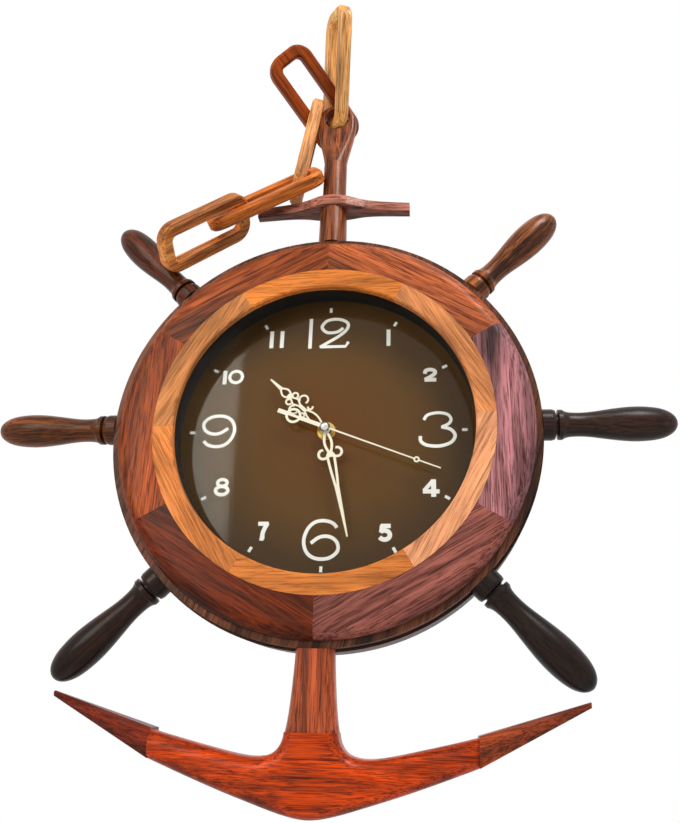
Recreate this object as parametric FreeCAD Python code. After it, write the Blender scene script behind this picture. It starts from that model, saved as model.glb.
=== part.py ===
import FreeCAD, Part
import math
import os

# Wooden wall clock: a ship's wheel rim round a 12-hour dial, an anchor through it and five chain links.
# Millimetres. X to the right, Y into the wall, Z up. Shapes are drawn about the clock's centre with the
# wall at y = 0, then moved so that the origin is the middle of the hanger plate's hole.

V = FreeCAD.Vector
ACROSS = V(1, 0, 0)
INWARD = V(0, 1, 0)
UPWARD = V(0, 0, 1)
CENTRE = V(0, 0, 0)
TURN = 360.0

# General fits
glue_gap = 0.1
seat_gap = 0.25
running_fit = 0.06
cut_overrun = 2.0

# Rim: base ring on the wall, dark band ring, six felloes and six bezel segments
base_radius = 168.5
base_depth = 26.0
band_step = 2.0
band_radius = base_radius - band_step
band_depth = 12.0
felloe_step = 5.0
felloe_radius = band_radius - felloe_step
felloe_depth = 10.0
felloe_slope_width = 12.5
felloe_flat_radius = felloe_radius - felloe_slope_width
felloe_edge_height = 2.5
felloe_count = 6
felloe_width = 29.8
bezel_outer_radius = felloe_radius - felloe_width
bezel_width = 15.2
bezel_inner_radius = bezel_outer_radius - bezel_width
bezel_depth = 7.0
bezel_dish = 2.0
bezel_lip = 1.2
bezel_joint_turn = 28.0
rim_bore_step = 9.7
rim_bore_radius = bezel_outer_radius - rim_bore_step

# Dial, spacer and glass
dial_recess = 20.0
dial_step = 3.7
dial_radius = bezel_outer_radius - dial_step
dial_thickness = 3.0
dial_hole_radius = 4.2
spacer_wall = 3.7
glass_step = 0.3
glass_radius = bezel_outer_radius - glass_step
glass_thickness = 2.7
glass_play = 0.15

# Wood screws, all alike: six hold the dial plate, two hold the hanger plate
screw_length = 8.0
screw_radius = 1.2
screw_head_radius = 2.3
screw_head_depth = 1.3
dial_screw_count = 6
dial_screw_inset = 3.0
dial_screw_circle = dial_radius - dial_screw_inset
dial_screw_turn = 15.0

# Hanger plate let into the back of the base ring
hanger_inset = 22.5
hanger_rise = base_radius - hanger_inset
hanger_width = 44.0
hanger_height = 14.0
hanger_thickness = 1.5
hanger_hole_radius = 4.0
hanger_screw_spacing = 32.0
hanger_pocket_width = 20.0
hanger_pocket_height = 10.0
hanger_pocket_depth = 7.0

# Plane of the spokes and of the anchor, measured out from the wall
arm_plane = 28.0
tenon_radius = 6.0
tenon_length = 20.0

# Six turned spoke handles: shares of the length from the rim and of the largest radius
spoke_turns = (45.0, 90.0, 135.0, 225.0, 270.0, 315.0)
handle_length_share = 0.58456973
handle_length = base_radius * handle_length_share
handle_radius_share = 0.07833828
handle_radius = base_radius * handle_radius_share
handle_sink = 6.0
handle_collar_shares = (
    (0.055, 0.91), (0.078, 0.86), (0.086, 0.6), (0.098, 0.6), (0.104, 0.88), (0.134, 0.88))
handle_grip_shares = (
    (0.134, 0.88), (0.165, 0.76), (0.22, 0.70), (0.30, 0.70), (0.42, 0.80), (0.55, 0.93),
    (0.67, 1.0), (0.80, 0.96), (0.90, 0.80), (0.97, 0.48), (1.0, 0.0))

# Anchor: round upper stem, flattened eye piece, cross stock
stem_foot_radius_share = 0.07121662
stem_foot_radius = base_radius * stem_foot_radius_share
stem_radius_share = 0.0611276
stem_radius = base_radius * stem_radius_share
stem_foot_length_share = 0.05637982
stem_foot_length = base_radius * stem_foot_length_share
stem_foot_top = base_radius + stem_foot_length
eye_rise_share = 0.8041543
eye_rise = base_radius * eye_rise_share
eye_height = base_radius + eye_rise
neck_rise_share = 0.30860534
neck_rise = base_radius * neck_rise_share
stem_top = eye_height - neck_rise
stem_shoulder_radius_share = 0.06884273
stem_shoulder_radius = base_radius * stem_shoulder_radius_share
eye_radius_share = 0.10385757
eye_radius = base_radius * eye_radius_share
eye_hole_radius_share = 0.0652819
eye_hole_radius = base_radius * eye_hole_radius_share
eye_thickness_share = 0.0652819
eye_thickness = base_radius * eye_thickness_share
eye_hole_edge = 1.5
eye_neck_shares = (
    (0.0, 0.57, 1.74, 0.98), (0.22, 0.65, 1.42, 0.86), (0.42, 0.78, 1.18, 0.80),
    (0.66, 0.93, 1.0, 0.75), (1.0, 1.0, 1.0, 0.75))
stock_reach_share = 0.39762611
stock_reach = base_radius * stock_reach_share
stock_fall_share = 0.53827893
stock_height = eye_height - base_radius * stock_fall_share
stock_half_depth_share = 0.07715134
stock_half_depth = base_radius * stock_half_depth_share
stock_drop_share = 0.08961424
stock_drop = base_radius * stock_drop_share
stock_edge = 1.4
stock_top_shares = ((0.0, 0.0), (0.22, 0.085), (0.48, 0.185), (0.68, 0.265), (0.87, 0.335), (1.0, 0.377))
stock_bottom_shares = ((0.0, 0.68), (0.22, 0.73), (0.35, 0.79), (0.48, 0.841), (0.68, 0.90), (0.87, 0.965),
                       (1.0, 1.0))
stock_depth_shares = ((0.0, 1.0), (0.13, 0.97), (0.22, 0.86), (0.35, 0.62), (0.48, 0.47), (0.68, 0.39),
                      (0.87, 0.355), (1.0, 0.34))

# Anchor: lower shank, crown with two arms, two flukes
shank_foot_radius = 14.0
shank_half_width = 18.6
shank_half_depth = 13.0
shank_length = 51.5
shank_joint = base_radius + shank_length
shank_corner_share = 0.86
shank_shares = ((0.0, 0.75), (0.31, 0.775), (0.57, 0.83), (0.78, 0.89), (1.0, 1.0))
arm_reach = 111.0
crown_height = 52.0
crown_half_depth = 13.0
arm_end_half_depth = 10.5
crown_bulge = 1.4
crown_edge = 8.0
crown_top_shares = ((0.1676, 0.0), (0.178, 0.11), (0.215, 0.225), (0.30, 0.292), (0.45, 0.275), (0.64, 0.192),
                    (0.83, 0.10), (1.0, 0.012))
crown_bottom_shares = ((1.0, 0.365), (0.70, 0.596), (0.51, 0.73), (0.315, 0.856), (0.126, 0.966), (0.0, 1.0))
fluke_length = 75.0
fluke_reach = arm_reach + fluke_length
fluke_rise = 0.5
fluke_top = shank_joint - fluke_rise
fluke_bevel_height = 4.0
fluke_ridge = fluke_top + fluke_bevel_height
fluke_height = 19.0
fluke_bottom = fluke_top + fluke_height
fluke_front = 12.2
fluke_back = 9.0
fluke_bevel = 6.0
fluke_belly = 3.0
fluke_tip_rise = 23.0
fluke_tip_height = shank_joint - fluke_tip_rise
fluke_tip_size = 3.6
fluke_step = 2.2

# Five chain links cut from square bar with broken edges
link_length_shares = (0.67359050, 0.58456973, 0.61483680, 0.65994065, 0.55786350)
link_lengths = [base_radius * share for share in link_length_shares]
link_width_share = 0.26706231
link_width = base_radius * link_width_share
link_bar_share = 0.0652819
link_bar = base_radius * link_bar_share
link_bend_radius_share = 0.05934718
link_bend_radius = base_radius * link_bend_radius_share
link_chamfer_share = 0.01186944
link_chamfer = base_radius * link_chamfer_share
# Each link's middle, as shares of the first link's length from the middle of the anchor's eye,
# then the way that it runs and the way across it
link_places_shares = (
    ((-0.004, -0.123, 0.417), (0.064, -0.424, 0.903), (-0.458, 0.792, 0.404)),
    ((-0.188, -0.049, 0.209), (-0.555, -0.619, 0.556), (0.738, -0.058, 0.672)),
    ((-0.247, 0.047, -0.249), (-0.153, -0.001, -0.988), (-0.259, 0.965, 0.039)),
    ((-0.547, -0.031, -0.756), (-0.904, 0.036, -0.427), (-0.308, 0.638, 0.705)),
    ((-0.962, -0.134, -1.122), (-0.637, -0.360, -0.682), (0.073, -0.908, 0.412)))

# Quartz movement behind the dial
gasket_thickness = 1.0
gasket_radius = 12.0
case_depth = 14.0
case_wall = 1.2
case_corner = 3.0
bay_wall = 0.5
bay_end_wall = 1.7
bay_end_room = 1.05
bay_bottom = 27.0
bay_top = 12.4
battery_length = 50.5
bay_half_length = battery_length / 2 + bay_end_room
case_size = 2 * (bay_half_length + bay_end_wall)
gear_room_bottom = 11.2
bushing_radius = 4.0
bushing_reach = 8.5
washer_radius = 7.5
washer_thickness = 0.6
nut_across = 12.0
nut_thickness = 2.2
nut_sides = 6
plate_front = 12.4
plate_thickness = 0.8
plate_margin = 0.3
post_radius = 1.6
post_inset = 4.0
boss_radius = 1.3
boss_depth = 1.0
pivot_depth = 0.5

# Pipes and arbors of the hands
hour_pipe_radius = 2.55
hour_pipe_bore = 1.85
minute_pipe_radius = 1.77
minute_pipe_bore = 0.57
seconds_arbor_radius = 0.5
hour_pipe_reach = 26.6
minute_pipe_reach = 28.8
seconds_arbor_reach = 31.0
arbor_radius = 0.4
rotor_arbor_radius = 0.35
knob_shaft_radius = 1.0

# Gear train: teeth, modules and the way from one arbor to the next
motion_module = 0.3
hour_module = 0.28
third_module = 0.2
fifth_module = 0.2
rotor_module = 0.15
cannon_teeth = 14
motion_teeth = 42
motion_pinion_teeth = 12
hour_teeth = 48
knob_teeth = 14
third_pinion_teeth = 8
centre_teeth = 64
seconds_pinion_teeth = 8
third_teeth = 60
fifth_pinion_teeth = 12
seconds_teeth = 60
rotor_pinion_teeth = 12
fifth_teeth = 72
centre_module = third_module * (seconds_pinion_teeth + third_teeth) / (centre_teeth + third_pinion_teeth)
motion_bearing = 195.0
third_bearing = 0.0
fifth_bearing = 60.0
rotor_bearing = 120.0
wheel_thickness = 0.7
pinion_thickness = 0.9
hour_level = 14.55
cannon_level = 13.5
centre_level = 11.25
third_level = 10.05
seconds_level = 8.85
fifth_level = 7.65
tooth_add_share = 0.85
tooth_ded_share = 1.25
tooth_tip_share = 0.09
tooth_root_share = 0.21

# Motor, circuit, knob and battery
magnet_radius = 2.2
magnet_front = 6.6
magnet_length = 2.0
stator_front = 6.1
stator_thickness = 1.0
stator_left = 16.0
stator_right = 8.0
stator_half_height = 4.0
stator_leg_width = 3.0
stator_leg_rise = 7.6
stator_hole_gap = 0.25
coil_radius = 2.6
coil_core_radius = 1.3
coil_flange = 0.8
board_inset = 2.0
board_right = case_size / 2 - board_inset
board_width = 17.0
board_left = board_right - board_width
board_bottom = 3.0
board_top_inset = 3.0
board_top = case_size / 2 - board_top_inset
board_thickness = 1.0
crystal_radius = 1.0
crystal_length = 6.0
knob_radius = 4.5
knob_thickness = 1.2
knob_gap = 0.25
battery_radius = 7.1
battery_nub_radius = 2.7
battery_nub_length = 1.2
contact_size = 8.0
contact_thickness = 0.4

# Hands: flat brass, cut through; angles are clockwise from 12 o'clock
hand_thickness = 0.5
hub_radius_share = 0.0328125
hub_radius = dial_radius * hub_radius_share
scroll_end_share = 0.62
hour_hand_turn = 313.0
hour_hand_length_share = 0.49609375
hour_hand_length = dial_radius * hour_hand_length_share
hour_stroke_share = 0.02362205
hour_stroke = hour_hand_length * hour_stroke_share
hour_leaf_shares = ((0.06, 0.37), (0.63, 0.80))
hour_leaf_half_width_share = 0.0519685
hour_leaf_half_width = hour_hand_length * hour_leaf_half_width_share
hour_scroll_shares = (
    (0.092, 0.48, 0.055, -110, 250), (0.058, 0.60, 0.036, -100, 230), (0.075, 0.345, 0.030, 120, 190))
hour_diamond_shares = (0.44, 0.64)
hour_diamond_half_width_share = 0.04724409
hour_diamond_half_width = hour_hand_length * hour_diamond_half_width_share
hour_spear_shares = (0.79, 1.0)
hour_spear_width_share = 0.0503937
hour_spear_width = hour_hand_length * hour_spear_width_share
hand_tip_width = 1.2
minute_hand_turn = 167.0
minute_hand_length_share = 0.69140625
minute_hand_length = dial_radius * minute_hand_length_share
minute_stroke_share = 0.02259887
minute_stroke = minute_hand_length * minute_stroke_share
minute_leaf_shares = (0.045, 0.245)
minute_leaf_half_width_share = 0.03163842
minute_leaf_half_width = minute_hand_length * minute_leaf_half_width_share
minute_scroll_shares = (0.062, 0.245, 0.041, -100, 260)
minute_prong_shares = ((0.030, 0.27), (0.024, 0.40), (0.008, 0.57))
minute_spear_shares = (0.54, 1.0)
minute_spear_width_share = 0.04293785
minute_spear_width = minute_hand_length * minute_spear_width_share
second_hand_turn = 111.0
second_hand_length_share = 0.75
second_hand_length = dial_radius * second_hand_length_share
second_hand_tail_share = 0.31640625
second_hand_tail = dial_radius * second_hand_tail_share
second_stroke = 1.3
second_tip_width = 1.0
second_hub_radius = 3.0
second_tail_width = 3.2
second_tail_end_width = 3.5
second_ring_share = 0.5984375
second_ring_place = dial_radius * second_ring_share
second_ring_radius = 2.4
tail_ring_share = 0.2109375
tail_ring_place = dial_radius * tail_ring_share
tail_ring_radius = 6.4
tail_stroke = 2.0
cap_radius = 4.3
cap_height = 3.2

# Depths worked out from the sizes above, counted out from the wall as negative y
base_front = -base_depth
band_front = base_front - band_depth
felloe_front = band_front - felloe_depth
dial_front = -dial_recess
dial_back = dial_front + dial_thickness
case_front_face = dial_back + gasket_thickness
case_back = case_front_face + case_depth
cover_inside = case_back - case_wall
arm_y = -arm_plane


# Small helpers

def turned_face(points, curve=None):
    """Closed flat face in the XY plane, with an optional curve edge in place of the last side."""
    vectors = [V(*point) for point in points]
    edges = [Part.LineSegment(a, b).toShape() for a, b in zip(vectors, vectors[1:])]
    edges.append(curve if curve else Part.LineSegment(vectors[-1], vectors[0]).toShape())
    return Part.Face(Part.Wire(Part.__sortEdges__(edges)))


def turned_about_y(points, curve=None, sweep=TURN):
    """Ring about the Y axis from a section of (radius, y) points."""
    section = turned_face([(radius, depth, 0) for radius, depth in points], curve)
    return section.revolve(CENTRE, INWARD, sweep)


def turned_about_z(edges):
    """Turned piece about the Z axis from the edges of its half section in the XZ plane."""
    face = Part.Face(Part.Wire(Part.__sortEdges__(edges)))
    return face.revolve(CENTRE, UPWARD, TURN)


def peg(radius, front, back, x=0, z=0):
    """Cylinder along Y from the depth front to the depth back."""
    return Part.makeCylinder(radius, back - front, V(x, front, z), INWARD)


def tube(radius, bore, front, back, x=0, z=0):
    """Hollow cylinder along Y."""
    outer = peg(radius, front, back, x, z)
    return outer.cut(peg(bore, front - cut_overrun, back + cut_overrun, x, z))


def block(left, right, front, back, bottom, top):
    """Box between the given planes."""
    return Part.makeBox(right - left, back - front, top - bottom, V(left, front, bottom))


def clockwise(shape, turn):
    """The shape turned clockwise as seen from the front."""
    return shape.rotated(CENTRE, INWARD, turn)


def smooth(points):
    """Edge of a curve through the points."""
    curve = Part.BSplineCurve()
    curve.interpolate([V(*point) for point in points])
    return curve.toShape()


def line(a, b):
    """Straight edge between two points."""
    return Part.LineSegment(V(*a), V(*b)).toShape()


def polar(radius, bearing):
    """Place at a radius and an angle counted anticlockwise from +X, as (x, z)."""
    return (radius * math.cos(math.radians(bearing)), radius * math.sin(math.radians(bearing)))


def rounded_section(half_a, half_b, corner, place):
    """Rounded rectangle wire; place turns a pair of flat coordinates into a point in space."""
    a = half_a - corner
    b = half_b - corner
    slant = corner * math.sqrt(0.5)
    edges = []
    for sign_a, sign_b in ((1, 1), (-1, 1), (-1, -1), (1, -1)):
        along_a = place(sign_a * half_a, sign_b * b)
        along_b = place(sign_a * a, sign_b * half_b)
        middle = place(sign_a * (a + slant), sign_b * (b + slant))
        arc = Part.Arc(V(*along_a), V(*middle), V(*along_b)).toShape()
        edges.append(arc)
    for sign in (1, -1):
        edges.append(line(place(sign * half_a, b), place(sign * half_a, -b)))
        edges.append(line(place(a, sign * half_b), place(-a, sign * half_b)))
    return Part.Wire(Part.__sortEdges__(edges))


def fused(shapes):
    """All shapes as one solid, without seams."""
    whole = shapes[0]
    for shape in shapes[1:]:
        whole = whole.fuse(shape)
    return whole.removeSplitter()


# Rim

def rim_envelope(gap):
    """Filled disc as large as the base and band rings, for saddle cuts."""
    base = peg(base_radius + gap, base_front, cut_overrun)
    band = peg(band_radius + gap, felloe_front - cut_overrun, base_front)
    return base.fuse(band)


def tenon_holes(ring):
    """The ring with a hole for each spoke and for the anchor's stem and shank."""
    start = base_radius - tenon_length
    for turn in spoke_turns + (0, TURN / 2):
        foot = V(0, arm_y, start)
        hole = Part.makeCylinder(tenon_radius + glue_gap, tenon_length + cut_overrun, foot, UPWARD)
        ring = ring.cut(clockwise(hole, turn))
    return ring


def base_ring():
    ring = turned_about_y([
        (rim_bore_radius, base_front), (base_radius, base_front), (base_radius, 0),
        (dial_radius + seat_gap, 0), (dial_radius + seat_gap, dial_front), (rim_bore_radius, dial_front)])
    ring = tenon_holes(ring)
    for x, z in dial_screw_places():
        ring = ring.cut(peg(screw_radius + running_fit, dial_back - screw_length, 0, x, z))
    half_width = hanger_width / 2 + glue_gap
    half_height = hanger_height / 2 + glue_gap
    rebate = block(-half_width, half_width, -hanger_thickness, cut_overrun,
                   hanger_rise - half_height, hanger_rise + half_height)
    pocket = block(-hanger_pocket_width / 2, hanger_pocket_width / 2, -hanger_pocket_depth, cut_overrun,
                   hanger_rise - hanger_pocket_height / 2, hanger_rise + hanger_pocket_height / 2)
    ring = ring.cut(rebate).cut(pocket)
    for x in (-hanger_screw_spacing / 2, hanger_screw_spacing / 2):
        ring = ring.cut(peg(screw_radius + running_fit, -screw_length, 0, x, hanger_rise))
    return ring


def band_ring():
    ring = turned_about_y([
        (rim_bore_radius, band_front), (band_radius, band_front),
        (band_radius, base_front), (rim_bore_radius, base_front)])
    return tenon_holes(ring)


def felloe(index):
    """One of six rim blocks, with a rounded outer edge and mitred ends."""
    inner = bezel_outer_radius + glue_gap
    edge_depth = band_front - felloe_edge_height
    bend = felloe_radius - felloe_flat_radius
    drop = edge_depth - felloe_front
    middle = V(felloe_flat_radius + bend * math.sqrt(0.5), edge_depth - drop * math.sqrt(0.5), 0)
    top = V(felloe_flat_radius, felloe_front, 0)
    crown = Part.Arc(V(felloe_radius, edge_depth, 0), middle, top).toShape()
    section = turned_face([
        (felloe_flat_radius, felloe_front, 0), (inner, felloe_front, 0), (inner, band_front, 0),
        (felloe_radius, band_front, 0), (felloe_radius, edge_depth, 0)], crown)
    sweep = TURN / felloe_count
    solid = section.revolve(CENTRE, INWARD, sweep)
    return clockwise(solid, index * sweep - TURN / 4)


def bezel_segment(index):
    """One of six inner segments that hold the glass, dished towards the dial."""
    back = felloe_front + bezel_depth
    section = [
        (bezel_inner_radius, felloe_front + bezel_dish),
        (bezel_inner_radius + bezel_lip, felloe_front + bezel_dish / 2),
        (bezel_outer_radius, felloe_front), (bezel_outer_radius, back), (bezel_inner_radius, back)]
    sweep = TURN / felloe_count
    solid = turned_about_y(section, None, sweep)
    return clockwise(solid, index * sweep - TURN / 4 + bezel_joint_turn)


def glass():
    return peg(glass_radius, band_front - glass_thickness - glass_play, band_front - glass_play)


def spacer_ring():
    outer = rim_bore_radius - seat_gap
    return tube(outer, outer - spacer_wall, band_front, dial_front)


# Dial plate, screws and hanger

def dial_screw_places():
    step = TURN / dial_screw_count
    return [polar(dial_screw_circle, dial_screw_turn + step * index) for index in range(dial_screw_count)]


def screw(x, back, z):
    """Countersunk wood screw driven inwards from the plane at depth back."""
    head = Part.makeCone(screw_head_radius, screw_radius, screw_head_depth, V(x, back, z), -INWARD)
    shank = peg(screw_radius, back - screw_length, back - screw_head_depth, x, z)
    return head.fuse(shank).removeSplitter()


def screw_sinks(plate, places, back):
    """The plate with a countersunk hole at each place."""
    for x, z in places:
        wide = screw_head_radius + running_fit
        narrow = screw_radius + running_fit
        cone = Part.makeCone(wide, narrow, screw_head_depth, V(x, back, z), -INWARD)
        plate = plate.cut(cone).cut(peg(narrow, back - screw_length, back, x, z))
    return plate


def hanger_screw_places():
    return [(-hanger_screw_spacing / 2, hanger_rise), (hanger_screw_spacing / 2, hanger_rise)]


def wood_screws():
    dial_screws = [screw(x, dial_back, z) for x, z in dial_screw_places()]
    hanger_screws = [screw(x, 0, z) for x, z in hanger_screw_places()]
    return Part.makeCompound(dial_screws + hanger_screws)


def dial_plate():
    plate = tube(dial_radius, dial_hole_radius, dial_front, dial_back)
    return screw_sinks(plate, dial_screw_places(), dial_back)


def hanger_plate():
    plate = block(-hanger_width / 2, hanger_width / 2, -hanger_thickness, 0,
                  hanger_rise - hanger_height / 2, hanger_rise + hanger_height / 2)
    plate = plate.cut(peg(hanger_hole_radius, -hanger_thickness - cut_overrun, cut_overrun, 0, hanger_rise))
    return screw_sinks(plate, hanger_screw_places(), 0)


# Spokes

def on_arm_plane(shape):
    shape.translate(V(0, arm_y, 0))
    return shape


def tenon(top):
    """Round tenon along Z that ends at the height top."""
    start = base_radius - tenon_length + glue_gap
    return Part.makeCylinder(tenon_radius, top - start, V(0, arm_y, start), UPWARD)


def spoke(turn):
    """Turned handle with a collar at the rim, a waist and a rounded grip."""
    foot = base_radius - handle_sink
    collar, grip = [
        [(handle_radius * radius, 0, base_radius + handle_length * along) for along, radius in shares]
        for shares in (handle_collar_shares, handle_grip_shares)]
    first = (collar[0][0], 0, foot)
    edges = [line((0, 0, foot), first), line(first, collar[0])]
    edges += [line(a, b) for a, b in zip(collar, collar[1:])]
    edges += [smooth(grip), line(grip[-1], (0, 0, foot))]
    handle = on_arm_plane(turned_about_z(edges)).cut(rim_envelope(glue_gap))
    return clockwise(fused([handle, tenon(base_radius + handle_sink)]), turn)


# Anchor

def anchor_stem():
    """Round stem with a shoulder that carries the cross bar."""
    foot = base_radius - handle_sink
    shoulder = stock_height - stock_drop * stock_bottom_shares[0][1] - glue_gap
    outline = [
        (0, 0, foot), (stem_foot_radius, 0, foot), (stem_foot_radius, 0, stem_foot_top),
        (stem_shoulder_radius, 0, shoulder), (stem_radius, 0, shoulder), (stem_radius, 0, stem_top),
        (0, 0, stem_top)]
    edges = [line(a, b) for a, b in zip(outline, outline[1:] + outline[:1])]
    stem = on_arm_plane(turned_about_z(edges)).cut(rim_envelope(glue_gap))
    return fused([stem, tenon(stem_foot_top)])


def anchor_eye():
    """Flattened neck that widens into a round eye."""
    half_thickness = eye_thickness / 2
    rise = eye_height - stem_top
    sections = []
    for up, width, depth, corner in eye_neck_shares:
        height = stem_top + rise * up
        half_a = eye_radius * width
        half_b = half_thickness * depth
        radius = corner * min(half_a, half_b)
        sections.append(rounded_section(half_a, half_b, radius, lambda a, b, h=height: (a, arm_y + b, h)))
    neck = Part.makeLoft(sections, True)
    edge = eye_neck_shares[-1][3] * half_thickness
    slant = edge * math.sqrt(0.5)
    front = arm_y - half_thickness
    back = arm_y + half_thickness
    inner = eye_radius - edge
    reach = inner + slant
    front_arc = Part.Arc(
        V(inner, front, 0), V(reach, front + edge - slant, 0), V(eye_radius, front + edge, 0))
    back_arc = Part.Arc(V(eye_radius, back - edge, 0), V(reach, back - edge + slant, 0), V(inner, back, 0))
    section = [
        line((0, back, 0), (0, front, 0)), line((0, front, 0), (inner, front, 0)), front_arc.toShape(),
        line((eye_radius, front + edge, 0), (eye_radius, back - edge, 0)), back_arc.toShape(),
        line((inner, back, 0), (0, back, 0))]
    half_disc = Part.Face(Part.Wire(Part.__sortEdges__(section))).revolve(CENTRE, INWARD, -TURN / 2)
    half_disc.translate(V(0, 0, eye_height))
    eye = neck.fuse(half_disc)
    hole = peg(eye_hole_radius, front - cut_overrun, back + cut_overrun, 0, eye_height)
    eye = eye.cut(hole).removeSplitter()
    rims = [edge for edge in eye.Edges if is_hole_edge(edge)]
    return eye.makeFillet(eye_hole_edge, rims)


def is_hole_edge(edge):
    """True for the circles where the eye's hole meets the flat faces."""
    curve = edge.Curve
    if not isinstance(curve, Part.Circle):
        return False
    return abs(curve.Radius - eye_hole_radius) < glue_gap and abs(abs(curve.Axis.y) - 1) < glue_gap


def mirrored(points):
    """The points from left to right, with their mirror images before them."""
    return [(-x, y, z) for x, y, z in reversed(points[1:])] + points


def sawn(upper, lower, start, way):
    """Board between two curves, from its start and along its way."""
    edges = [smooth(upper), smooth(lower), line(upper[0], lower[0]), line(upper[-1], lower[-1])]
    face = Part.Face(Part.Wire(Part.__sortEdges__(edges)))
    return face.translated(start).extrude(way)


def anchor_stock():
    """Cross bar sawn to its outline from the front and again from above, with rounded long edges."""
    top, bottom = [
        mirrored([(stock_reach * out, 0, stock_height - stock_drop * fall) for out, fall in shares])
        for shares in (stock_top_shares, stock_bottom_shares)]
    front, back = [
        mirrored([(stock_reach * out, side * stock_half_depth * share, 0)
                  for out, share in stock_depth_shares])
        for side in (-1, 1)]
    depth = 2 * stock_half_depth
    height = stock_drop + 2 * cut_overrun
    low = stock_height - stock_drop - cut_overrun
    board = sawn(top, bottom, V(0, arm_y - stock_half_depth, 0), V(0, depth, 0))
    stock = board.common(sawn(front, back, V(0, arm_y, low), V(0, 0, height)))
    long_edges = [edge for edge in stock.Edges if edge.Length > stock_reach]
    stock = stock.makeFillet(stock_edge, long_edges)
    hole = Part.makeCylinder(stem_radius + glue_gap, height, V(0, arm_y, low), UPWARD)
    seat = stock_height - stock_drop * stock_bottom_shares[0][1]
    recess = Part.makeCylinder(stem_shoulder_radius + glue_gap, seat - low, V(0, arm_y, low), UPWARD)
    return stock.cut(hole).cut(recess)


def anchor_shank():
    """Lower shank between the rim and the crown."""
    foot = base_radius - handle_sink
    sections = []
    for down, width in shank_shares:
        height = -(foot + (shank_joint - foot) * down)
        half_a = shank_half_width * width
        corner = shank_corner_share * min(half_a, shank_half_depth)
        section = rounded_section(half_a, shank_half_depth, corner, lambda a, b, h=height: (a, arm_y + b, h))
        sections.append(section)
    shank = Part.makeLoft(sections, True).cut(rim_envelope(glue_gap))
    peg_in_rim = tenon(base_radius + handle_sink).rotated(CENTRE, INWARD, TURN / 2)
    return fused([shank, peg_in_rim])


def anchor_crown():
    """Crown and both arms in one piece: a front outline that is thinned towards the arm ends."""
    def place(share):
        return (arm_reach * share[0], 0, -shank_joint - crown_height * share[1])

    top = [place(share) for share in crown_top_shares]
    bottom = [place(share) for share in crown_bottom_shares]
    mirror_top = [(-x, y, z) for x, y, z in top]
    mirror_bottom = [(-x, y, z) for x, y, z in reversed(bottom[:-1])]
    edges = [
        line(mirror_top[0], top[0]), smooth(top), line(top[-1], bottom[0]),
        smooth(bottom + mirror_bottom), line(mirror_bottom[-1], mirror_top[-1]), smooth(mirror_top)]
    outline = Part.Face(Part.Wire(Part.__sortEdges__(edges)))
    slab_half = crown_half_depth + crown_bulge + cut_overrun
    outline.translate(V(0, arm_y - slab_half, 0))
    slab = outline.extrude(V(0, 2 * slab_half, 0))
    half_way = (crown_half_depth + arm_end_half_depth) / 2
    front = [(-arm_reach, -arm_end_half_depth), (-arm_reach / 2, -half_way),
             (0, -crown_half_depth - crown_bulge), (arm_reach / 2, -half_way),
             (arm_reach, -arm_end_half_depth)]
    below = -shank_joint - crown_height - cut_overrun
    front_points = [(x, arm_y + y, below) for x, y in front]
    back_points = [(x, arm_y - y, below) for x, y in reversed(front)]
    plan_edges = [
        smooth(front_points), line(front_points[-1], back_points[0]), smooth(back_points),
        line(back_points[-1], front_points[0])]
    plan = Part.Face(Part.Wire(Part.__sortEdges__(plan_edges)))
    crown = slab.common(plan.extrude(V(0, 0, crown_height + 2 * cut_overrun)))
    long_edges = [edge for edge in crown.Edges if edge.Length > crown_height]
    return crown.makeFillet(crown_edge, long_edges)


def fluke(side):
    """Wedge-shaped palm on an arm's end; side is 1 on the right and -1 on the left."""
    shift = -fluke_step * side
    ridge = arm_y - fluke_front + shift
    back = arm_y + fluke_back + shift
    inner = [
        (ridge + fluke_bevel, -fluke_top), (ridge, -fluke_ridge), (ridge + fluke_belly, -fluke_bottom),
        (back, -fluke_bottom), (back, -fluke_top)]
    half_tip = fluke_tip_size / 2
    tip_top = -fluke_tip_height
    tip_bottom = tip_top - fluke_tip_size
    tip = [
        (arm_y, tip_top), (arm_y - half_tip, tip_top - half_tip / 2), (arm_y - half_tip / 2, tip_bottom),
        (arm_y + half_tip, tip_bottom), (arm_y + half_tip, tip_top)]
    wires = []
    for reach, points in ((arm_reach, inner), (fluke_reach, tip)):
        corners = [V(side * reach, y, z) for y, z in points]
        wires.append(Part.makePolygon(corners + corners[:1]))
    return Part.makeLoft(wires, True, True)


# Chain

def link(index):
    """One link: a rounded oblong of square bar with broken edges, set where it rests."""
    half_length = link_lengths[index] / 2
    half_width = link_width / 2
    half_bar = link_bar / 2

    def lying(a, b):
        return (a, b, -half_bar)

    bend = link_bend_radius + half_bar
    outer = Part.Face(rounded_section(half_length, half_width, bend, lying)).extrude(V(0, 0, link_bar))
    inner_bend = link_bend_radius - half_bar
    opening = Part.Face(rounded_section(half_length - link_bar, half_width - link_bar, inner_bend, lying))
    solid = outer.cut(opening.extrude(V(0, 0, link_bar)))
    flat_edges = [edge for edge in solid.Edges if abs(abs(edge.CenterOfMass.z) - half_bar) < glue_gap]
    solid = solid.makeChamfer(link_chamfer, flat_edges)
    place, run, side = link_places_shares[index]
    along = V(*run).normalize()
    across = V(*side)
    across = (across - along * along.dot(across)).normalize()
    normal = along.cross(across)
    middle = V(0, arm_y, eye_height) + V(*place) * link_lengths[0]
    pose = FreeCAD.Matrix(
        along.x, across.x, normal.x, middle.x, along.y, across.y, normal.y, middle.y,
        along.z, across.z, normal.z, middle.z, 0, 0, 0, 1)
    solid.Placement = FreeCAD.Placement(pose)
    return solid


# Quartz movement

def seconds_place():
    return (0.0, 0.0)


def motion_place():
    return polar(motion_module * (cannon_teeth + motion_teeth) / 2, motion_bearing)


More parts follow.
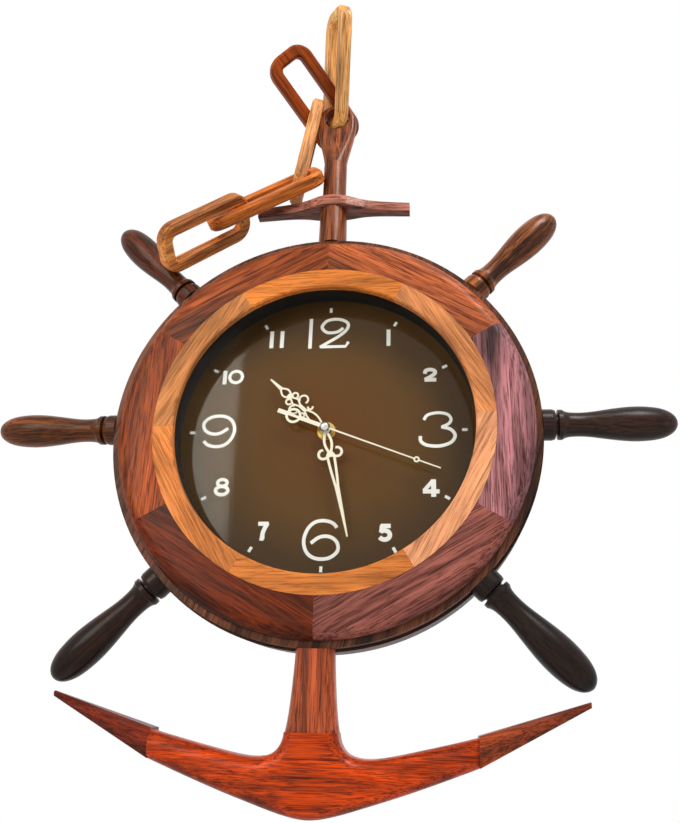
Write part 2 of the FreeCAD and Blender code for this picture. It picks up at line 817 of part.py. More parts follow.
def knob_place():
    return polar(motion_module * (cannon_teeth + 2 * motion_teeth + knob_teeth) / 2, motion_bearing)


def third_place():
    return polar(third_module * (seconds_pinion_teeth + third_teeth) / 2, third_bearing)


def fifth_place():
    return polar(fifth_module * (fifth_pinion_teeth + seconds_teeth) / 2, fifth_bearing)


def rotor_place():
    x, z = fifth_place()
    dx, dz = polar(rotor_module * (rotor_pinion_teeth + fifth_teeth) / 2, rotor_bearing)
    return (x + dx, z + dz)


def bearing_from(place, other):
    """Angle from one place towards another, anticlockwise from +X."""
    return math.degrees(math.atan2(other[1] - place[1], other[0] - place[0]))


def gear(teeth, module, front, thickness, place, bearing, tooth_there):
    """Toothed disc along Y; a tooth, or else a gap, points along the bearing."""
    pitch = module * teeth / 2
    tip = pitch + module * tooth_add_share
    root = pitch - module * tooth_ded_share
    step = TURN / teeth
    start = bearing if tooth_there else bearing + step / 2
    corners = []
    for index in range(teeth):
        middle = start + index * step
        for radius, offset in ((root, -tooth_root_share), (tip, -tooth_tip_share),
                               (tip, tooth_tip_share), (root, tooth_root_share)):
            x, z = polar(radius, middle + offset * step)
            corners.append(V(place[0] + x, front, place[1] + z))
    face = Part.Face(Part.makePolygon(corners + corners[:1]))
    return face.extrude(V(0, thickness, 0))


def wheel(teeth, module, level, place, bearing, tooth_there):
    return gear(teeth, module, -level, wheel_thickness, place, bearing, tooth_there)


def pinion(teeth, module, level, place, bearing, tooth_there):
    front = -level - (pinion_thickness - wheel_thickness) / 2
    return gear(teeth, module, front, pinion_thickness, place, bearing, tooth_there)


def rubber_gasket():
    return tube(gasket_radius, dial_hole_radius, dial_back, case_front_face)


def case_front():
    """Moulded case: room for the gears above, battery bay below, threaded bushing in front."""
    half = case_size / 2
    outer = block(-half, half, case_front_face, case_back, -half, half)
    upright = [edge for edge in outer.Edges if abs(edge.tangentAt(0).y) > math.sqrt(0.5)]
    outer = outer.makeFillet(case_corner, upright)
    inside = case_front_face + case_wall
    inner = half - case_wall
    room = block(-inner, inner, inside, cut_overrun, -gear_room_bottom, inner)
    bay_front = case_front_face + bay_wall
    bay = block(-bay_half_length, bay_half_length, bay_front, cut_overrun, -bay_bottom, -bay_top)
    seat = block(-half - cut_overrun, half + cut_overrun, cover_inside, cut_overrun,
                 -(gear_room_bottom + bay_top) / 2, half + cut_overrun)
    case = outer.cut(room).cut(bay).cut(seat)
    for x, z in post_places():
        case = case.fuse(peg(post_radius, inside, -plate_front, x, z))
    motion_x, motion_z = motion_place()
    knob_x, knob_z = knob_place()
    bushing_front = case_front_face - bushing_reach
    bushing = peg(bushing_radius, bushing_front, inside)
    bore = peg(hour_pipe_radius + running_fit, bushing_front - cut_overrun, inside + cut_overrun)
    case = case.fuse(bushing).cut(bore)
    case = case.cut(peg(seconds_arbor_radius + running_fit, inside - pivot_depth, inside, motion_x, motion_z))
    case = case.cut(peg(knob_shaft_radius + running_fit, inside - pivot_depth, inside, knob_x, knob_z))
    return case.removeSplitter()


def post_places():
    side = case_size / 2 - post_inset
    low = -gear_room_bottom + post_inset - case_wall
    return [(-side, side), (side, side), (-side, low), (side, low)]


def middle_plate():
    """Bearing plate on the posts of the case."""
    half = case_size / 2 - case_wall - plate_margin
    bottom = -gear_room_bottom + plate_margin
    plate = block(-half, half, -plate_front, -plate_front + plate_thickness, bottom, half)
    back = -plate_front + plate_thickness + cut_overrun
    holes = [(minute_pipe_radius, seconds_place()), (seconds_arbor_radius, motion_place()),
             (arbor_radius, third_place()), (arbor_radius, fifth_place()),
             (rotor_arbor_radius, rotor_place()), (knob_shaft_radius, knob_place())]
    for radius, (x, z) in holes:
        plate = plate.cut(peg(radius + running_fit, -plate_front - cut_overrun, back, x, z))
    return plate


def back_cover():
    """Cover plate with bearing bosses for the arbors."""
    half = case_size / 2
    cover = block(-half, half, cover_inside, case_back, -(gear_room_bottom + bay_top) / 2, half)
    pivots = [(seconds_arbor_radius, seconds_place()), (arbor_radius, third_place()),
              (arbor_radius, fifth_place()), (rotor_arbor_radius, rotor_place())]
    for radius, (x, z) in pivots:
        cover = cover.fuse(peg(boss_radius, cover_inside - boss_depth, cover_inside, x, z))
        pivot_hole = peg(radius + running_fit, cover_inside - boss_depth, cover_inside + pivot_depth, x, z)
        cover = cover.cut(pivot_hole)
    x, z = knob_place()
    cover = cover.cut(peg(knob_shaft_radius + running_fit, cover_inside, case_back, x, z))
    return cover.removeSplitter()


def pivot_end():
    """Depth where the arbors end in the back cover."""
    return cover_inside + pivot_depth - running_fit


def washer():
    return tube(washer_radius, bushing_radius + running_fit, dial_front - washer_thickness, dial_front)


def hex_nut():
    front = dial_front - washer_thickness - nut_thickness
    corners = [V(nut_across / 2 / math.cos(math.pi / nut_sides), 0, 0)]
    corners = [
        clockwise(Part.Vertex(corners[0]), TURN / nut_sides * index).Point for index in range(nut_sides)]
    nut = Part.Face(Part.makePolygon(corners + corners[:1])).extrude(V(0, nut_thickness, 0))
    nut.translate(V(0, front, 0))
    return nut.cut(peg(bushing_radius + running_fit, front - cut_overrun, dial_front))


def hour_wheel():
    toward = bearing_from(seconds_place(), motion_place())
    disc = wheel(hour_teeth, hour_module, hour_level, seconds_place(), toward, False)
    pipe = peg(hour_pipe_radius, -hour_pipe_reach, -hour_level + wheel_thickness)
    bore = peg(hour_pipe_bore, -hour_pipe_reach - cut_overrun, -hour_level + wheel_thickness + cut_overrun)
    return fused([disc, pipe]).cut(bore)


def motion_wheel():
    place = motion_place()
    toward = bearing_from(place, seconds_place())
    x, z = place
    inside = case_front_face + case_wall
    foot = inside - pivot_depth + running_fit
    arbor = peg(seconds_arbor_radius, foot, -plate_front + plate_thickness, x, z)
    disc = wheel(motion_teeth, motion_module, cannon_level, place, toward, True)
    leaf = pinion(motion_pinion_teeth, hour_module, hour_level, place, toward, True)
    collar = peg(hour_module * motion_pinion_teeth / 3, -hour_level, -cannon_level, x, z)
    return fused([arbor, disc, leaf, collar])


def centre_wheel():
    """Minute pipe with the cannon pinion and the centre wheel."""
    toward_motion = bearing_from(seconds_place(), motion_place())
    toward_third = bearing_from(seconds_place(), third_place())
    end = -centre_level + wheel_thickness
    pipe = peg(minute_pipe_radius, -minute_pipe_reach, end)
    cannon = pinion(cannon_teeth, motion_module, cannon_level, seconds_place(), toward_motion, False)
    disc = wheel(centre_teeth, centre_module, centre_level, seconds_place(), toward_third, False)
    bore = peg(minute_pipe_bore, -minute_pipe_reach - cut_overrun, end + cut_overrun)
    return fused([pipe, cannon, disc]).cut(bore)


def third_wheel():
    place = third_place()
    toward = bearing_from(place, seconds_place())
    arbor = peg(arbor_radius, -plate_front, pivot_end(), *place)
    disc = wheel(third_teeth, third_module, third_level, place, toward, False)
    leaf = pinion(third_pinion_teeth, centre_module, centre_level, place, toward, True)
    return fused([arbor, disc, leaf])


def seconds_wheel():
    """Seconds arbor through the minute pipe, with its pinion and wheel."""
    toward_third = bearing_from(seconds_place(), third_place())
    toward_fifth = bearing_from(seconds_place(), fifth_place())
    arbor = peg(seconds_arbor_radius, -seconds_arbor_reach, pivot_end())
    leaf = pinion(seconds_pinion_teeth, third_module, third_level, seconds_place(), toward_third, True)
    disc = wheel(seconds_teeth, fifth_module, seconds_level, seconds_place(), toward_fifth, False)
    return fused([arbor, leaf, disc])


def fifth_wheel():
    place = fifth_place()
    arbor = peg(arbor_radius, -plate_front, pivot_end(), *place)
    toward_seconds = bearing_from(place, seconds_place())
    toward_rotor = bearing_from(place, rotor_place())
    leaf = pinion(fifth_pinion_teeth, fifth_module, seconds_level, place, toward_seconds, True)
    disc = wheel(fifth_teeth, rotor_module, fifth_level, place, toward_rotor, False)
    return fused([arbor, leaf, disc])


def rotor():
    """Magnet and pinion of the stepping motor."""
    place = rotor_place()
    x, z = place
    arbor = peg(rotor_arbor_radius, -plate_front, pivot_end(), x, z)
    toward_fifth = bearing_from(place, fifth_place())
    leaf = pinion(rotor_pinion_teeth, rotor_module, fifth_level, place, toward_fifth, True)
    magnet = peg(magnet_radius, -magnet_front, -magnet_front + magnet_length, x, z)
    return fused([arbor, leaf, magnet])


def stator():
    """Laminated yoke round the rotor, with two legs that hold the coil's core."""
    x, z = rotor_place()
    back = -stator_front + stator_thickness
    low = z - stator_half_height
    yoke = block(-stator_left, stator_right, -stator_front, back, low, z + stator_half_height)
    top = z + stator_half_height + stator_leg_rise
    left = block(-stator_left, -stator_left + stator_leg_width, -stator_front, back, z, top)
    right = block(stator_right - stator_leg_width, stator_right, -stator_front, back, z, top)
    hole = peg(magnet_radius + stator_hole_gap, -stator_front - cut_overrun, back + cut_overrun, x, z)
    return fused([yoke, left, right]).cut(hole)


def coil():
    """Wound bobbin between the yoke's legs, on a core whose flat ends lie on the legs."""
    z = rotor_place()[1] + stator_half_height + stator_leg_rise - stator_leg_width / 2
    left = -stator_left + stator_leg_width + seat_gap
    right = stator_right - stator_leg_width - seat_gap
    core_back = -stator_front
    y = core_back - coil_core_radius
    winding = Part.makeCylinder(coil_radius, right - left, V(left, y, z), ACROSS)
    core = block(-stator_left, stator_right, core_back - stator_thickness, core_back,
                 z - stator_leg_width / 2, z + stator_leg_width / 2)
    flanges = []
    for start in (left, right - coil_flange):
        flanges.append(Part.makeCylinder(coil_radius + coil_flange / 2, coil_flange, V(start, y, z), ACROSS))
    return fused([winding, core] + flanges)


def circuit_board():
    board_front = cover_inside - board_thickness
    board = block(board_left, board_right, board_front, cover_inside, board_bottom, board_top)
    x = (board_left + board_right) / 2
    foot = V(x, board_front - crystal_radius / 2, board_bottom + crystal_length)
    crystal = Part.makeCylinder(crystal_radius, crystal_length, foot, UPWARD)
    return fused([board, crystal])


def setting_knob():
    place = knob_place()
    x, z = place
    inside = case_front_face + case_wall
    disc_front = case_back + knob_gap
    shaft = peg(knob_shaft_radius, inside - pivot_depth + running_fit, disc_front, x, z)
    toward_motion = bearing_from(place, motion_place())
    leaf = pinion(knob_teeth, motion_module, cannon_level, place, toward_motion, False)
    disc = peg(knob_radius, disc_front, disc_front + knob_thickness, x, z)
    return fused([shaft, leaf, disc])


def battery_axis():
    return (case_front_face + bay_wall + seat_gap + battery_radius, -(bay_bottom + bay_top) / 2)


def battery():
    y, z = battery_axis()
    left = -battery_length / 2
    body = Part.makeCylinder(battery_radius, battery_length - battery_nub_length, V(left, y, z), ACROSS)
    nub = Part.makeCylinder(battery_nub_radius, battery_length, V(left, y, z), ACROSS)
    return fused([body, nub])


def battery_contacts():
    """Spring plates at both ends of the battery, in slots of the bay's end walls."""
    y, z = battery_axis()
    half = contact_size / 2
    plates = []
    for side in (-1, 1):
        inner = side * (battery_length / 2 + seat_gap)
        outer = side * bay_half_length
        plates.append(block(min(inner, outer), max(inner, outer), y - half, y + half, z - half, z + half))
    return Part.makeCompound(plates)


# Hands

def flat(outline, front):
    """Flat plate of hand thickness from a closed outline of edges in the plane y = 0."""
    face = Part.Face(Part.Wire(Part.__sortEdges__(outline)))
    plate = face.extrude(V(0, hand_thickness, 0))
    plate.translate(V(0, front, 0))
    return plate


def bar(points, widths, front):
    """Plate along a run of points, with its own width at each point."""
    left = []
    right = []
    for index, (x, z) in enumerate(points):
        before = points[max(index - 1, 0)]
        after = points[min(index + 1, len(points) - 1)]
        heading = math.atan2(after[1] - before[1], after[0] - before[0])
        dx = -math.sin(heading) * widths[index] / 2
        dz = math.cos(heading) * widths[index] / 2
        left.append((x + dx, 0, z + dz))
        right.append((x - dx, 0, z - dz))
    edges = [smooth(left), line(left[-1], right[-1]), smooth(right), line(right[0], left[0])]
    return flat(edges, front)


def disc(radius, front, place=(0, 0)):
    return peg(radius, front, front + hand_thickness, *place)


def scroll(centre, radius, start, sweep, stroke, front):
    """Part of a flat ring, with a round end."""
    points = [polar(radius, start + sweep * share) for share in (0, 0.2, 0.4, 0.6, 0.8, 1)]
    points = [(centre[0] + x, centre[1] + z) for x, z in points]
    return [bar(points, [stroke] * len(points), front), disc(stroke * scroll_end_share, front, points[-1])]


def open_leaf(start, end, half_width, stroke, front):
    """Two bowed strokes that meet at both ends."""
    length = end - start
    strokes = []
    for side in (-1, 1):
        points = [(side * half_width * bow, start + length * share)
                  for bow, share in ((0.25, 0), (0.85, 0.3), (1, 0.5), (0.75, 0.75), (0.1, 1))]
        strokes.append(bar(points, [stroke] * len(points), front))
    return strokes


def mirrored_scrolls(share, length, stroke, front):
    """A scroll on each side of the hand; share is (side, along, radius, start, sweep)."""
    side, along, radius, start, sweep = share
    pieces = scroll((length * side, length * along), length * radius, start, sweep, stroke, front)
    centre = (-length * side, length * along)
    pieces += scroll(centre, length * radius, TURN / 2 - start, -sweep, stroke, front)
    return pieces


def finished_hand(pieces, bore, turn, front):
    """The pieces as one plate with a hole for its pipe, turned to its time."""
    hand = fused(pieces).cut(peg(bore, front - cut_overrun, front + hand_thickness + cut_overrun))
    return clockwise(hand, turn)


def hour_hand():
    front = -hour_pipe_reach + seat_gap
    length = hour_hand_length
    pieces = [disc(hub_radius, front)]
    for start, end in hour_leaf_shares:
        pieces += open_leaf(length * start, length * end, hour_leaf_half_width, hour_stroke, front)
    for share in hour_scroll_shares:
        pieces += mirrored_scrolls(share, length, hour_stroke, front)
    start, end = hour_diamond_shares
    middle = (start + end) / 2
    for side in (-1, 1):
        points = [(0, length * start), (side * hour_diamond_half_width, length * middle), (0, length * end)]
        for a, b in zip(points, points[1:]):
            pieces.append(bar([a, b], [hour_stroke, hour_stroke], front))
    stem = [(0, length * hour_leaf_shares[0][1] - hour_stroke), (0, length * start + hour_stroke)]
    pieces.append(bar(stem, [2 * hour_stroke] * 2, front))
    collar = [(0, length * end - hour_stroke), (0, length * hour_leaf_shares[1][0] + 2 * hour_stroke)]
    pieces.append(bar(collar, [2 * hour_stroke] * 2, front))
    start, end = hour_spear_shares
    pieces.append(bar([(0, length * start), (0, length * end)], [hour_spear_width, hand_tip_width], front))
    return finished_hand(pieces, hour_pipe_radius + running_fit / 2, hour_hand_turn, front)


def minute_hand():
    front = -minute_pipe_reach + seat_gap
    length = minute_hand_length
    pieces = [disc(hub_radius, front)]
    start, end = minute_leaf_shares
    pieces += open_leaf(length * start, length * end, minute_leaf_half_width, minute_stroke, front)
    pieces += mirrored_scrolls(minute_scroll_shares, length, minute_stroke, front)
    foot = [(0, length * end - minute_stroke), (0, length * minute_prong_shares[0][1] + minute_stroke / 2)]
    pieces.append(bar(foot, [2 * minute_stroke, 3 * minute_stroke], front))
    for side in (-1, 1):
        points = [(side * length * out, length * along) for out, along in minute_prong_shares]
        pieces.append(bar(points, [minute_stroke] * len(points), front))
    start, end = minute_spear_shares
    pieces.append(bar([(0, length * start), (0, length * end)], [minute_spear_width, hand_tip_width], front))
    return finished_hand(pieces, minute_pipe_radius + running_fit / 2, minute_hand_turn, front)


def second_hand():
    """Thin hand with a small ring near its tip and a ringed counterweight tail."""
    front = -seconds_arbor_reach + seat_gap
    tip = [(0, 0), (0, second_hand_length)]
    tail = [(0, 0), (0, -second_hand_tail)]
    pieces = [
        disc(second_hub_radius, front), bar(tip, [second_stroke, second_tip_width], front),
        bar(tail, [second_tail_width, second_tail_end_width], front),
        disc(second_ring_radius, front, (0, second_ring_place)),
        disc(tail_ring_radius, front, (0, -tail_ring_place))]
    hand = fused(pieces)
    back = front + hand_thickness + cut_overrun
    hand = hand.cut(peg(second_ring_radius - second_stroke, front - cut_overrun, back, 0, second_ring_place))
    inner = tail_ring_radius - tail_stroke
    window = peg(inner, front - cut_overrun, back, 0, -tail_ring_place)
    half_bar = tail_stroke / 2
    window = window.cut(block(-half_bar, half_bar, front - cut_overrun, back, -second_hand_tail, 0))
    return finished_hand([hand.cut(window)], seconds_arbor_radius + running_fit / 2, second_hand_turn, front)


def hand_cap():
    """Domed cap on the end of the seconds arbor."""
    back = -seconds_arbor_reach + seat_gap
    sphere_radius = (cap_radius ** 2 + cap_height ** 2) / (2 * cap_height)
    ball = Part.makeSphere(sphere_radius, V(0, back - cap_height + sphere_radius, 0))
    dome = ball.common(peg(cap_radius + cut_overrun, back - cap_height - cut_overrun, back))
    return dome.cut(peg(seconds_arbor_radius + running_fit / 2, -seconds_arbor_reach - running_fit, back))


def build():
    """Every piece by name."""
    pieces = {"base_ring": base_ring(), "band_ring": band_ring()}
    for index in range(felloe_count):
        pieces["felloe_%d" % (index + 1)] = felloe(index)
        pieces["bezel_%d" % (index + 1)] = bezel_segment(index)
    for index, turn in enumerate(spoke_turns):
        pieces["spoke_%d" % (index + 1)] = spoke(turn)
    for index in range(len(link_lengths)):
        pieces["chain_link_%d" % (index + 1)] = link(index)
    pieces["fluke_right"] = fluke(1)
    pieces["fluke_left"] = fluke(-1)
    makers = (
        glass, spacer_ring, dial_plate, wood_screws, hanger_plate, anchor_stem, anchor_eye, anchor_stock,
        anchor_shank, anchor_crown, rubber_gasket, case_front, middle_plate, back_cover, washer, hex_nut,
        hour_wheel, motion_wheel, centre_wheel, third_wheel, seconds_wheel, fifth_wheel, rotor, stator, coil,
        circuit_board, setting_knob, battery, battery_contacts, hour_hand, minute_hand, second_hand, hand_cap)
    for maker in makers:
        pieces[maker.__name__] = maker()
    return pieces


def main():
    os.makedirs("parts", exist_ok=True)
    for name, shape in build().items():
        shape.translate(V(0, hanger_thickness / 2, -hanger_rise))
        shape.exportStep(os.path.join("parts", name + ".step"))
        print(name, len(shape.Solids), round(shape.Volume, 1), shape.isValid())


main()
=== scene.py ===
import math

import bmesh
import bpy
from mathutils import Matrix, Vector


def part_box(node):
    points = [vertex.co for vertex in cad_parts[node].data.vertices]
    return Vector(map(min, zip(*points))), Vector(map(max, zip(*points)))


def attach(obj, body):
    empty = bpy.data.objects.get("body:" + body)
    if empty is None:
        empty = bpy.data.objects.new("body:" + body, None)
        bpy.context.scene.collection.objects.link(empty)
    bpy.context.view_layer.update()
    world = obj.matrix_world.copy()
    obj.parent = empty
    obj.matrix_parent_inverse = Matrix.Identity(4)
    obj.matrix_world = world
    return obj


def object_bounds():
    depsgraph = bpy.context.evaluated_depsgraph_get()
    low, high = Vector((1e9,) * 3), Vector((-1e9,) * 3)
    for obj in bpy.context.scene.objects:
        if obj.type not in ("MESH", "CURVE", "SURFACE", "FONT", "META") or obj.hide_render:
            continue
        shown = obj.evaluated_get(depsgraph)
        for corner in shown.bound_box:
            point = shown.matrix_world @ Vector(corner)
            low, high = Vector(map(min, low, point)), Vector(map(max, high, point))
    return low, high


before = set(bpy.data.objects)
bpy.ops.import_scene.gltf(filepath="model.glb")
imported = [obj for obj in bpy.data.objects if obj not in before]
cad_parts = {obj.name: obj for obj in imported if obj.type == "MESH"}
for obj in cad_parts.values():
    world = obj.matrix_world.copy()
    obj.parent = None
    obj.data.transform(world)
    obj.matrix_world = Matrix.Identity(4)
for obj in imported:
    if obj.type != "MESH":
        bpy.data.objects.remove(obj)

# The CAD box, kept before any piece is added
cad_box = [list(corner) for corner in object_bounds()]

# Places taken from the frame, in metres: the dial's middle, its front face and its radius
MM = 0.001
dial_low, dial_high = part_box("dial_plate")
clock_x = (dial_low[0] + dial_high[0]) / 2
clock_z = (dial_low[2] + dial_high[2]) / 2
dial_front = dial_low[1]
dial_radius = (dial_high[0] - dial_low[0]) / 2

# Dial print. Each further stroke of a figure is thicker by stroke_step, so that crossings don't flicker
print_thickness = 0.12 * MM
print_lift = 0.01 * MM
stroke_step = 0.3
large_stroke = 2.7 * MM
small_stroke = 3.3 * MM
tick_radius = 109.0 * MM
tick_length = 5.8 * MM
tick_width = 2.3 * MM
hour_count = 12
arc_steps = 18
flow_steps = 6
# An open stroke runs past its end points by this share of half its width
end_overrun = 0.35
# A stroke whose ends are nearer than this, in shares of its box, is a closed loop
closing_gap = 0.01

# Softened edges of the chain's links
link_count = 5
link_edge = 0.7 * MM
link_edge_segments = 2
link_edge_angle = 38.0

# Wood: noise scales along and across the grain, and each noise's step from the board's seed
band_scale = (4.0, 52.0)
line_scale = (10.0, 300.0)
pore_scale = (42.0, 950.0)
patch_scale = (16.0, 26.0, 26.0)
line_seed = 3.1
pore_seed = 7.7
patch_seed = 1.3
# Wood: where the dark, middle and light tones lie, and what the other noises multiply them by
band_stops = (0.34, 0.49, 0.64)
line_shades = ((0.37, (0.26, 0.17, 0.13, 1)), (0.47, (0.90, 0.87, 0.84, 1)), (0.64, (1.26, 1.24, 1.2, 1)))
pore_shades = ((0.40, (0.22, 0.14, 0.10, 1)), (0.49, (1, 1, 1, 1)), (0.64, (1.22, 1.2, 1.18, 1)))
patch_shades = ((0.3, (0.78, 0.74, 0.72, 1)), (0.7, (1.12, 1.1, 1.08, 1)))
patch_strength = 0.7
light_rise = 0.30
dark_fall = 0.50
# Wood: varnish
wood_specular = 0.12
wood_coat_roughness = 0.2
wood_bump = 0.4 * MM
line_dullness = 0.16
line_shine = 0.05

# Paint, plastic and metal
noise_stops = (0.3, 0.7)
mottle_size = 9.0
gloss_spread = 0.08
least_roughness = 0.03
skin_bump = 0.1 * MM
brush_scale = (60.0, 4200.0, 4200.0)
brush_seed = 0.4
brush_dark = 0.8
brush_relief = 0.12
white = (1, 1, 1, 1)

# Glass and the dial's lacquer
glass_ior = 1.08
glass_tint = (0.97, 0.98, 0.97, 1)
glass_roughness = 0.03
smear_scale = 14.0
smear_least = 0.75
lacquer_ior = 1.3
lacquer_roughness = 0.05
dial_specular = 0.05
dial_mottle_scale = 22.0
dial_mottle = 0.25
dial_speck_scale = 1500.0
dial_relief = 0.04
dial_roughness = (0.42, 0.58)
# Where the dial's brown darkens towards the rim: painted shade of the rim falling on the dial
rim_shade_stops = (0.15, 0.62, 0.9545455)

# Stage and lights
stage_reach = 6.0
floor_drop = 0.45
floor_colour = (0.9, 0.9, 0.9, 1)
floor_roughness = 0.9
key_place = (0.6, -0.9, 1.1)
key_size = (0.5, 0.5)
key_power = 17.0
# The side lamp's reflection is the warm strip at the dial's left
side_place = (-0.86, -1.4, 0.38)
side_size = (0.8, 1.0)
side_power = 15.0
side_colour = (1.0, 0.94, 0.84)
world_light = 0.36

# Camera, fitted to the photograph, which is 680 by 823
photo_width = 680.0
photo_height = 823.0
focal_pixels = 750.87
centre_pixel = (357.96, 412.66)
sensor_height = 36.0
camera_place = Vector((82.3, -573.75, -351.4)) * MM
camera_tilt = -0.3773
camera_turn = 0.1032
camera_roll = 0.0240
clip_near = 0.01
clip_far = 50.0


# Colours

def linear(red, green, blue):
    """Scene colour from the 0 to 255 values that it should show."""
    channels = []
    for value in (red, green, blue):
        share = value / 255.0
        channels.append(share / 12.92 if share <= 0.04045 else ((share + 0.055) / 1.055) ** 2.4)
    return (*channels, 1.0)


def shaded(colour, factor):
    """A scene colour made lighter or darker."""
    return tuple(min(1.0, channel * factor) for channel in colour[:3]) + (1.0,)


def tones(colour, contrast=1.0):
    """Light, middle and dark tone of a wood around its middle colour."""
    light = [min(255.0, value * (1.0 + light_rise * contrast)) for value in colour]
    dark = [value * (1.0 - dark_fall * contrast) for value in colour]
    return linear(*light), linear(*colour), linear(*dark)


# Parts of materials

def new_material(name):
    material = bpy.data.materials.new(name)
    material.use_nodes = True
    nodes = material.node_tree.nodes
    return material, nodes, material.node_tree.links, nodes["Principled BSDF"]


def set_inputs(shader, **inputs):
    """Sets inputs by name, where an underscore stands for a space."""
    for name, value in inputs.items():
        shader.inputs[name.replace("_", " ")].default_value = value


def node(nodes, kind, **inputs):
    """A shader node with its inputs set by name."""
    made = nodes.new(kind)
    set_inputs(made, **inputs)
    return made


def object_place(nodes):
    return nodes.new("ShaderNodeTexCoord").outputs["Object"]


def grain_coordinates(nodes, links, way):
    """Object coordinates turned so that X runs along the grain."""
    along = Vector(way).normalized()
    side = Vector((0, 1, 0))
    side = (side - along * side.dot(along)).normalized()
    up = along.cross(side)
    place = object_place(nodes)
    joined = nodes.new("ShaderNodeCombineXYZ")
    for index, axis in enumerate((along, side, up)):
        dot = nodes.new("ShaderNodeVectorMath")
        dot.operation = "DOT_PRODUCT"
        dot.inputs[1].default_value = axis
        links.new(place, dot.inputs[0])
        links.new(dot.outputs["Value"], joined.inputs[index])
    return joined.outputs["Vector"]


def stretched(nodes, links, vector, scales, seed):
    """The coordinates scaled along each axis and shifted by a seed."""
    mapping = node(nodes, "ShaderNodeMapping", Scale=scales, Location=(seed, seed * 1.7, -seed))
    links.new(vector, mapping.inputs["Vector"])
    return mapping.outputs["Vector"]


def noise(nodes, links, vector, scale, detail, rough=0.55, distortion=0.0):
    made = node(nodes, "ShaderNodeTexNoise", Scale=scale, Detail=detail, Roughness=rough,
                Distortion=distortion)
    links.new(vector, made.inputs["Vector"])
    return made.outputs["Fac"]


def ramp(nodes, links, factor, stops):
    """Colour ramp with (position, colour) stops."""
    made = nodes.new("ShaderNodeValToRGB")
    elements = made.color_ramp.elements
    elements[0].position, elements[0].color = stops[0]
    elements[1].position, elements[1].color = stops[-1]
    for position, colour in stops[1:-1]:
        elements.new(position).color = colour
    links.new(factor, made.inputs["Fac"])
    return made.outputs["Color"]


def multiplied(nodes, links, strength, first, second):
    """The first colour times the second, by a strength from 0 to 1."""
    made = nodes.new("ShaderNodeMix")
    made.data_type = "RGBA"
    made.blend_type = "MULTIPLY"
    sockets = {socket.identifier: socket for socket in made.inputs}
    sockets["Factor_Float"].default_value = strength
    links.new(first, sockets["A_Color"])
    links.new(second, sockets["B_Color"])
    return next(socket for socket in made.outputs if socket.identifier == "Result_Color")


def math_node(nodes, links, operation, first, second):
    made = nodes.new("ShaderNodeMath")
    made.operation = operation
    for index, value in enumerate((first, second)):
        if isinstance(value, float):
            made.inputs[index].default_value = value
        else:
            links.new(value, made.inputs[index])
    return made.outputs["Value"]


def mapped(nodes, links, factor, low, high, start=0.0, end=1.0):
    """A value that runs from low to high as the factor runs from start to end."""
    made = nodes.new("ShaderNodeMapRange")
    for name, value in (("From Min", start), ("From Max", end), ("To Min", low), ("To Max", high)):
        made.inputs[name].default_value = value
    links.new(factor, made.inputs["Value"])
    return made.outputs["Result"]


def bumped(nodes, links, shader, height, strength, distance):
    bump = node(nodes, "ShaderNodeBump", Strength=strength, Distance=distance)
    links.new(height, bump.inputs["Height"])
    links.new(bump.outputs["Normal"], shader.inputs["Normal"])


def show_mix(nodes, links, factor, first, second):
    """The surface as a mix of two shaders' outputs."""
    mix = nodes.new("ShaderNodeMixShader")
    links.new(factor, mix.inputs["Fac"])
    links.new(first, mix.inputs[1])
    links.new(second, mix.inputs[2])
    links.new(mix.outputs["Shader"], nodes["Material Output"].inputs["Surface"])


def background_seen(nodes, links):
    """1 for rays that see the white background: the camera's, a mirror's and those through glass."""
    path = nodes.new("ShaderNodeLightPath")
    seen = math_node(nodes, links, "MAXIMUM", path.outputs["Is Camera Ray"], path.outputs["Is Glossy Ray"])
    return math_node(nodes, links, "MAXIMUM", seen, path.outputs["Is Transmission Ray"])


# Materials

def wood(name, shades, way, seed, gloss=0.4, coat=0.06, pores=0.8, streak=0.75, grain_size=1.0, relief=0.3):
    """Varnished hardwood: colour bands, growth lines and dark pores along the grain, uneven gloss."""
    material, nodes, links, shader = new_material(name)
    grain = grain_coordinates(nodes, links, way)

    def grained(scales, step, *settings):
        scales = (scales[0], scales[1] / grain_size, scales[1] / grain_size)
        return noise(nodes, links, stretched(nodes, links, grain, scales, seed + step), 1.0, *settings)

    bands = grained(band_scale, 0.0, 4.0, 0.6, 0.5)
    lines = grained(line_scale, line_seed, 5.0, 0.62, 0.7)
    fine = grained(pore_scale, pore_seed, 4.0, 0.6)
    patch_place = stretched(nodes, links, grain, patch_scale, seed + patch_seed)
    patch = noise(nodes, links, patch_place, 1.0, 2.0, 0.5)
    colour = ramp(nodes, links, bands, tuple(zip(band_stops, reversed(shades))))
    for factor, stops, strength in (
            (lines, line_shades, streak), (fine, pore_shades, pores), (patch, patch_shades, patch_strength)):
        colour = multiplied(nodes, links, strength, colour, ramp(nodes, links, factor, stops))
    links.new(colour, shader.inputs["Base Color"])
    roughness = mapped(nodes, links, lines, gloss + line_dullness, gloss - line_shine, *noise_stops)
    links.new(roughness, shader.inputs["Roughness"])
    bumped(nodes, links, shader, math_node(nodes, links, "ADD", fine, lines), relief, wood_bump)
    set_inputs(shader, Specular_IOR_Level=wood_specular, Coat_Weight=coat, Coat_Roughness=wood_coat_roughness)
    return material


